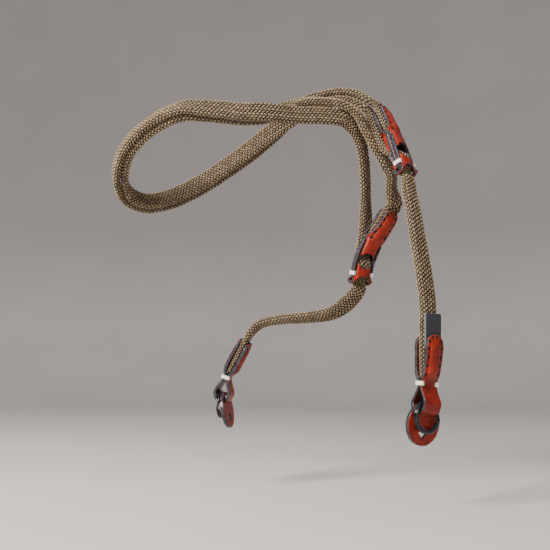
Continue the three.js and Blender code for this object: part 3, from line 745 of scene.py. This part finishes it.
def smooth_copy(node, name, material, voxel):
    """A rounded copy of a CAD node's solid, with soft edges."""
    obj = bpy.data.objects.new(name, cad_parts[node].data.copy())
    bpy.context.scene.collection.objects.link(obj)
    obj.data.materials.clear()
    obj.data.materials.append(material)
    remesh = obj.modifiers.new("remesh", "REMESH")
    remesh.mode = "VOXEL"
    remesh.voxel_size = voxel * MM
    smooth = obj.modifiers.new("smooth", "SMOOTH")
    smooth.factor = 0.5
    smooth.iterations = SMOOTH_ROUNDS
    bpy.context.view_layer.update()
    evaluated = obj.evaluated_get(bpy.context.evaluated_depsgraph_get())
    mesh = bpy.data.meshes.new_from_object(evaluated)
    obj.modifiers.clear()
    obj.data = mesh
    mesh.name = name
    mesh.polygons.foreach_set("use_smooth", np.ones(len(mesh.polygons), bool))
    return obj


def coordinates(obj):
    """A mesh's vertices in millimetres, and their normals."""
    places = np.zeros(len(obj.data.vertices) * 3, np.float32)
    obj.data.vertices.foreach_get("co", places)
    normals = np.zeros(len(obj.data.vertices) * 3, np.float32)
    obj.data.vertex_normals.foreach_get("vector", normals)
    return places.reshape(-1, 3) / MM, normals.reshape(-1, 3)


def in_line(lie, places, reach):
    """Each point's across, out and along beside a fitting's line, and the frames there."""
    stands = np.linspace(-reach, lie.length + reach, LINE_STANDS)
    line_places, tangents, faces, sides, _, _ = lie.frames(stands)
    gaps = np.linalg.norm(places[:, None, :] - line_places[None], axis=2)
    nearest = gaps.argmin(axis=1)
    offset = places - line_places[nearest]
    along = stands[nearest] + np.sum(offset * tangents[nearest], axis=1)
    across = np.sum(offset * sides[nearest], axis=1)
    out = np.sum(offset * faces[nearest], axis=1)
    return across, out, along, tangents[nearest], faces[nearest], sides[nearest]


def stitch_rows(length, width, pitch, inset):
    """Places of the stitch holes round a tongue, as (across, along)."""
    half = width / 2 - inset
    top = width / 2
    holes = []
    for angle in np.radians(TIP_HOLE_ANGLES):
        holes.append((half * math.sin(angle), top - half * math.cos(angle)))
    rows = int((length - top) / pitch)
    for k in range(rows + 1):
        for side in (-1, 1):
            holes.append((side * half, top + (k + FIRST_ROW) * pitch))
    return holes


def dress_leather(piece, lie, holes, tongue, tip_edge, width, pinched, waist=0.0):
    """Presses a strip's two layers together at its edges, raises its tongues over the rope and marks its
    painted edges, its inner sides, which get painted shade, and its stitch holes, painted near black as shade.
    Pinched is where the press starts and ends, and how far the front and the back are pressed."""
    places, normals = coordinates(piece)
    across, out, along, tangents, faces, sides = in_line(lie, places, 4)
    facing = np.sum(normals * faces, axis=1) * np.sign(out)
    # Inner sides face the other layer; the material paints shade on them.
    inner = rise(-facing, INNER_START, INNER_SPAN)
    first, last, from_front, from_back = pinched
    beside = np.abs(across) / (width / 2)
    rim = rise(beside, RIM_START, RIM_SPAN)
    span = rise(along, first, PRESS_FADE_IN) * rise(last - along, 0, PRESS_FADE_OUT)
    press = np.where(out > 0, -from_front, from_back) * rim * rim * (3 - 2 * rim) * span
    below = (along - tongue - WAIST_BELOW_TONGUE) / WAIST_REACH
    press -= out * waist * np.clip(1 - below ** 2, 0, 1) ** 2
    ridge = np.clip(1 - (across / RIDGE_HALF_WIDTH) ** 2, 0, 1) ** RIDGE_POWER
    ridge = ridge * rise(along, RIDGE_FROM_TIP, RIDGE_FADE)
    ridge = RIDGE_HEIGHT * ridge * rise(tongue - along, 0, RIDGE_FADE) * np.sign(out) * (1 - inner)
    places = places + faces * (press + ridge)[:, None]
    joined = rise(JOINED_TURN - facing, 0, JOINED_TURN_SPAN) * rise(beside, JOINED_START, JOINED_SPAN) * span
    sideways = np.abs(np.sum(normals * sides, axis=1))
    lengthways = np.abs(np.sum(normals * tangents, axis=1))
    edge = rise(sideways, EDGE_START, EDGE_SPAN)
    edge = np.where(along < tip_edge, np.maximum(edge, rise(lengthways, EDGE_START, EDGE_SPAN)), edge)
    edge = np.maximum(edge, joined)
    # The stitch holes are sunk a little and painted near black as the shade inside them.
    hole = np.zeros(len(places))
    for hole_across, hole_along in holes:
        gap = np.hypot(across - hole_across, along - hole_along)
        here = rise(HOLE_RADIUS - gap, 0, HOLE_SOFTNESS) * (along < tongue + HOLES_PAST_TONGUE)
        hole = np.maximum(hole, here)
    hole = hole * (1 - edge) * (1 - inner)
    moved = places - normals * (HOLE_DEPTH * hole)[:, None]
    piece.data.vertices.foreach_set("co", (moved * MM).astype(np.float32).ravel())
    piece.data.update()
    add_attribute(piece, "edge", edge)
    add_attribute(piece, "hole", hole)
    add_attribute(piece, "inner", inner)


def stitches(name, lie, piece, holes, material):
    """Short stitches from hole to hole round both tongues, half sunk in the leather."""
    surface = BVHTree.FromObject(piece, bpy.context.evaluated_depsgraph_get())
    chain = sorted(holes, key=lambda hole: math.atan2(hole[0], TONGUE_MIDDLE - hole[1]))
    vertices, faces, total = [], [], 0
    for front in (1, -1):
        hits = []
        for across, along in chain:
            outside = Vector(lie.place(across, front * STITCH_RAY, along)[0] * MM)
            inward = Vector(-front * lie.frames(along)[2][0])
            spot = surface.ray_cast(outside, inward)[0]
            hits.append(None if spot is None else np.array(spot) / MM)
        for one, other in zip(hits, hits[1:]):
            if one is None or other is None or np.linalg.norm(one - other) > STITCH_LONGEST:
                continue
            start = one * (1 - STITCH_START) + other * STITCH_START
            end = one * STITCH_START + other * (1 - STITCH_START)
            capsule, triangles = stitch_capsule(start, end)
            vertices.append(capsule)
            faces.append(triangles + total)
            total += len(capsule)
    made = mesh_object(name, np.vstack(vertices), np.vstack(faces), material)
    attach(made, "root")


def stitch_capsule(start, end, sides=6):
    """A closed spindle between two points, as vertices and triangles."""
    along = unit(end - start)
    other = unit(np.cross(along, [0.31, 0.52, 0.79]))
    third = np.cross(along, other)
    angles = np.arange(sides) / sides * 2 * math.pi
    ring = STITCH_RADIUS * (np.cos(angles)[:, None] * other + np.sin(angles)[:, None] * third)
    vertices = np.vstack([start - along * STITCH_TIP, start + ring, end + ring, end + along * STITCH_TIP])
    triangles = []
    for k in range(sides):
        after = (k + 1) % sides
        triangles += [
            (0, 1 + after, 1 + k),
            (1 + k, 1 + after, 1 + sides + after),
            (1 + k, 1 + sides + after, 1 + sides + k),
            (1 + 2 * sides, 1 + sides + k, 1 + sides + after),
        ]
    return vertices, np.array(triangles)


def sheet_edge(facing):
    """1 on a sheet's cut sides and 0 on its faces, from how far each normal lies along its thickness."""
    return rise(SHEET_EDGE_BELOW - np.abs(facing), 0, SHEET_EDGE_SPAN)


def settle(piece, nodes):
    """Names what a piece rides on and hides the nodes that it stands for."""
    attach(piece, "root")
    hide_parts(*nodes)
    return piece


def tube_along(points, radius, sides=8):
    """Vertices and quads of a tube round a closed line of points in millimetres."""
    points = np.asarray(points, float)
    tangents = unit(np.roll(points, -1, 0) - np.roll(points, 1, 0))
    middle = points.mean(0)
    axis = unit(np.cross(points[0] - middle, points[len(points) // 4] - middle))
    outward = np.cross(tangents, axis)
    angles = np.arange(sides) / sides * 2 * math.pi
    ring = outward[:, None] * np.cos(angles)[None, :, None] + axis[None, None] * np.sin(angles)[None, :, None]
    vertices = (points[:, None] + radius * ring).reshape(-1, 3)
    rows = len(points)
    row = np.arange(rows)[:, None]
    column = np.arange(sides)[None, :]
    following = (column + 1) % sides
    start, end = row * sides, (row + 1) % rows * sides
    faces = np.stack([start + column, start + following, end + following, end + column], -1)
    return vertices, faces.reshape(-1, 4)


def wound_thread(name, node, lie, side, edge, half_depth, shift, middle, material):
    """Turns of thread wound round one edge of a strip."""
    vertices, faces = [], []
    total = 0
    depth = half_depth + THREAD_STANDOFF
    angles = np.linspace(0, 2 * math.pi, THREAD_POINTS, endpoint=False)
    narrow = np.where(np.cos(angles) > 0, THREAD_OUTER_SHARE, 1.0)
    across = edge - THREAD_INSET + THREAD_REACH * squared_off(np.cos(angles), THREAD_SQUARENESS) * narrow
    out = shift + depth * squared_off(np.sin(angles), THREAD_SQUARENESS)
    for turn in range(THREAD_TURNS):
        along = middle + (turn + 0.5 - THREAD_TURNS / 2) * THREAD_LENGTH / THREAD_TURNS * THREAD_CROWDING
        points = lie.place(side * across, out, along + THREAD_SLACK * np.sin(angles + turn))
        tube, quads = tube_along(points, THREAD_RADIUS)
        vertices.append(tube)
        faces.append(quads + total)
        total += len(tube)
    piece = mesh_object(name, np.vstack(vertices), np.vstack(faces), material)
    return settle(piece, [node])


def hanging_frame(lie):
    """The frame at the foot of a tab's loop: across, facing, along."""
    foot = TAB_TONGUE_LENGTH + TAB_LOOP_LENGTH - LEATHER
    _, along, face, across, _, _ = lie.frames(lie.length)
    basis = Matrix((across[0], face[0], along[0])).transposed().to_4x4()
    return Matrix.Translation(Vector(lie.place(0, 0, foot)[0])) @ basis


def leaned(places, lie, angle):
    """Points turned about the foot of a tab's loop, as its pad and ring lean to one side."""
    foot = np.array(hanging_frame(lie).translation)
    return (places - foot) @ np.array(Matrix.Rotation(angle, 3, "Y")).T + foot


def split_ring(name, node, lie, lean, material):
    """Flat wire wound twice, with its step from one turn to the next."""
    lift = RING_WIRE_AXIAL + RING_GAP + CLEARANCE
    frame_at = hanging_frame(lie) @ Matrix.Translation((0, lift, RING_DROP))
    radius = RING_RADIUS - RING_WIRE_RADIAL / 2
    angle = np.radians(np.linspace(*RING_TURN, RING_STEPS))
    step = rise(np.degrees(angle), RING_STEP_AT, RING_STEP_OVER)
    height = (step * step * (3 - 2 * step) - 0.5) * (RING_WIRE_AXIAL + RING_GAP)
    around = np.arange(RING_SIDES) / RING_SIDES * 2 * math.pi
    wave = squared_off(np.cos(around), RING_SQUARENESS) * RING_WIRE_RADIAL / 2
    rise_out = squared_off(np.sin(around), RING_SQUARENESS) * RING_WIRE_AXIAL / 2
    out = radius + wave[None, :]
    vertices = np.stack([
        out * np.cos(angle)[:, None],
        height[:, None] + rise_out[None, :],
        out * np.sin(angle)[:, None],
    ], -1).reshape(-1, 3)
    matrix = np.array(frame_at)
    vertices = leaned(vertices @ matrix[:3, :3].T + matrix[:3, 3], lie, lean)
    faces = grid_faces(RING_STEPS, RING_SIDES, True)[:, ::-1]
    triangles = np.vstack([faces[:, [0, 1, 2]], faces[:, [0, 2, 3]]])
    ends = []
    for first, flip in ((0, 1), ((RING_STEPS - 1) * RING_SIDES, -1)):
        ends += [(first, first + k, first + k + 1)[::flip] for k in range(1, RING_SIDES - 1)]
    piece = mesh_object(name, vertices, np.vstack([triangles, ends]), material)
    piece.data.polygons.foreach_set("use_smooth", np.arange(len(triangles) + len(ends)) < len(triangles))
    return settle(piece, [node])


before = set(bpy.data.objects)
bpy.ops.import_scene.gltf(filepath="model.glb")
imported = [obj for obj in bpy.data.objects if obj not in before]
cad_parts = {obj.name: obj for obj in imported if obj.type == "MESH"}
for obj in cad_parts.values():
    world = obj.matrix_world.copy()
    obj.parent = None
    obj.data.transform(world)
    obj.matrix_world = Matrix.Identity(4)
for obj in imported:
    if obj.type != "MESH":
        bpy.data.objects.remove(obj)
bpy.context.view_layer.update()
random = np.random.default_rng(7)

camera_data = bpy.data.cameras.new("camera")
camera_data.lens = CAMERA_LENS
camera_data.sensor_width = CAMERA_SENSOR
camera_data.shift_y = CAMERA_SHIFT
camera_data.clip_start = 0.01
camera = bpy.data.objects.new("camera", camera_data)
camera.matrix_world = (
    Matrix.Translation(CAMERA_PLACE)
    @ Matrix.Rotation(math.radians(CAMERA_AIM), 4, "Z")
    @ Matrix.Rotation(math.radians(90 + CAMERA_TILT), 4, "X")
    @ Matrix.Rotation(math.radians(CAMERA_ROLL), 4, "Z")
)
bpy.context.scene.collection.objects.link(camera)
bpy.context.scene.camera = camera

yarn, core = yarn_material(), core_shade_material()
leather, thread, red_thread = leather_material(), thread_material(), red_thread_material()
ring_metal, label_leather = ring_material(), label_material()

# Ropes
for name, lie in (("rope_a", rope_a_line), ("rope_b", rope_b_line)):
    rope = settle(braid(f"{name}_braid", lie, (yarn, core), random), [name])
    route = lie.frames(np.linspace(0, lie.length, ROUTE_POINTS))[0] * MM

# Keepers
keeper_holes = stitch_rows(
    KEEPER_TONGUE_LENGTH, KEEPER_TONGUE_WIDTH, KEEPER_STITCH_PITCH, KEEPER_STITCH_INSET)
for name, lie in (("keeper_upper", keeper_upper_line), ("keeper_lower", keeper_lower_line)):
    piece = smooth_copy(name, f"{name}_leather", leather, LEATHER_VOXEL)
    fold = KEEPER_LENGTH - 3
    pinched = (KEEPER_TONGUE_LENGTH - 4, fold, KEEPER_FRONT_PRESS, KEEPER_BACK_PRESS)
    dress_leather(piece, lie, keeper_holes, KEEPER_TONGUE_LENGTH, fold, KEEPER_WIDTH, pinched)
    settle(piece, [name])
    stitches(f"stitches_{name}", lie, piece, keeper_holes, red_thread)
    for end, side in (("a", 1), ("b", -1)):
        middle = KEEPER_LENGTH - 0.5 * THREAD_LENGTH - KEEPER_FOLD_HOLE
        wound_thread(f"thread_{name}_{end}_turns", f"thread_{name}_{end}", lie, side, KEEPER_WIDTH / 2,
                     LEATHER, (KEEPER_BACK_PRESS - KEEPER_FRONT_PRESS) / 2, middle, thread)

# Tabs
tab_holes = stitch_rows(TAB_TONGUE_LENGTH, TAB_WIDTH, TAB_STITCH_PITCH, TAB_STITCH_INSET)
for name, lie, waist, lean in (("right", tab_right_line, 0.4, 0.0), ("left", tab_left_line, 0.22, LEFT_LEAN)):
    piece = smooth_copy(f"tab_{name}", f"tab_{name}_leather", leather, LEATHER_VOXEL)
    pinched = (TAB_TONGUE_LENGTH - 6, TAB_TONGUE_LENGTH + 2, 0.2, 0.2)
    dress_leather(piece, lie, tab_holes, TAB_TONGUE_LENGTH - 2, TAB_TONGUE_LENGTH, TAB_WIDTH, pinched, waist)
    settle(piece, [f"tab_{name}"])
    stitches(f"stitches_tab_{name}", lie, piece, tab_holes, red_thread)
    for end, side in (("a", 1), ("b", -1)):
        wound_thread(f"thread_tab_{name}_{end}_turns", f"thread_tab_{name}_{end}", lie, side, TAB_WIDTH / 2,
                     LEATHER + 0.15, 0.0, TAB_TONGUE_LENGTH, thread)
    pad = smooth_copy(f"pad_{name}", f"pad_{name}_leather", leather, PAD_VOXEL)
    places, normals = coordinates(pad)
    lifted = leaned(places - lie.frames(lie.length)[1] * PAD_LIFT, lie, lean)
    pad.data.vertices.foreach_set("co", (lifted * MM).astype(np.float32).ravel())
    flat = np.linalg.eigh(np.cov((places - places.mean(0)).T))[1][:, 0]
    add_attribute(pad, "edge", sheet_edge(normals @ flat))
    for absent in ("hole", "inner"):
        add_attribute(pad, absent, np.zeros(len(places)))
    settle(pad, [f"pad_{name}"])
    split_ring(f"ring_{name}_wire", f"ring_{name}", lie, lean, ring_metal)

# Label
label = smooth_copy("label_right", "label_right_suede", label_leather, LABEL_VOXEL)
places, normals = coordinates(label)
_, _, _, _, faces, _ = in_line(tab_right_line, places, 16)
add_attribute(label, "edge", sheet_edge(np.sum(normals * faces, axis=1)))
settle(label, ["label_right"])


# Stage

def area_light(name, place, size, power, color=(1, 1, 1)):
    """A square light that points at the strap."""
    light = bpy.data.lights.new(name, "AREA")
    light.shape = "SQUARE"
    light.size = size
    light.energy = power
    light.color = color
    obj = bpy.data.objects.new(name, light)
    obj.location = place
    obj.rotation_euler = (Vector(LIT_POINT) - Vector(place)).to_track_quat("-Z", "Y").to_euler()
    bpy.context.scene.collection.objects.link(obj)


def bowl(name, material, steps=64):
    """A pale floor that turns up into a wall all round the part, without a corner."""
    flat = BOWL_RADIUS - BOWL_BEND
    profile = [(BOWL_HUB, FLOOR), (flat, FLOOR)]
    for angle in np.linspace(0, math.pi / 2, 13)[1:]:
        profile.append((flat + BOWL_BEND * math.sin(angle), FLOOR + BOWL_BEND * (1 - math.cos(angle))))
    profile.append((BOWL_RADIUS, BOWL_TOP))
    profile = np.array(profile)
    turn = np.arange(steps) / steps * 2 * math.pi
    vertices = np.stack([
        profile[:, :1] * np.cos(turn),
        profile[:, :1] * np.sin(turn),
        np.repeat(profile[:, 1:], steps, axis=1),
    ], -1).reshape(-1, 3)
    faces = grid_faces(len(profile), steps, True)
    middle = [[0, 0, FLOOR]]
    closing = [(len(vertices), k, (k + 1) % steps) for k in range(steps)]
    triangles = np.vstack([faces[:, [0, 2, 1]], faces[:, [0, 3, 2]], closing])
    return mesh_object(name, np.vstack([vertices, middle]) / MM, triangles, material)


bowl("floor", floor_material())

area_light("key", place=(-0.75, -0.75, 0.5), size=0.4, power=36, color=(1, 0.97, 0.92))
area_light("fill", place=(0.9, -0.8, 0.3), size=0.9, power=1.2)

world = bpy.data.worlds.new("studio")
world.use_nodes = True
world.node_tree.nodes["Background"].inputs["Color"].default_value = WORLD_COLOR
world.node_tree.nodes["Background"].inputs["Strength"].default_value = WORLD_STRENGTH
bpy.context.scene.world = world
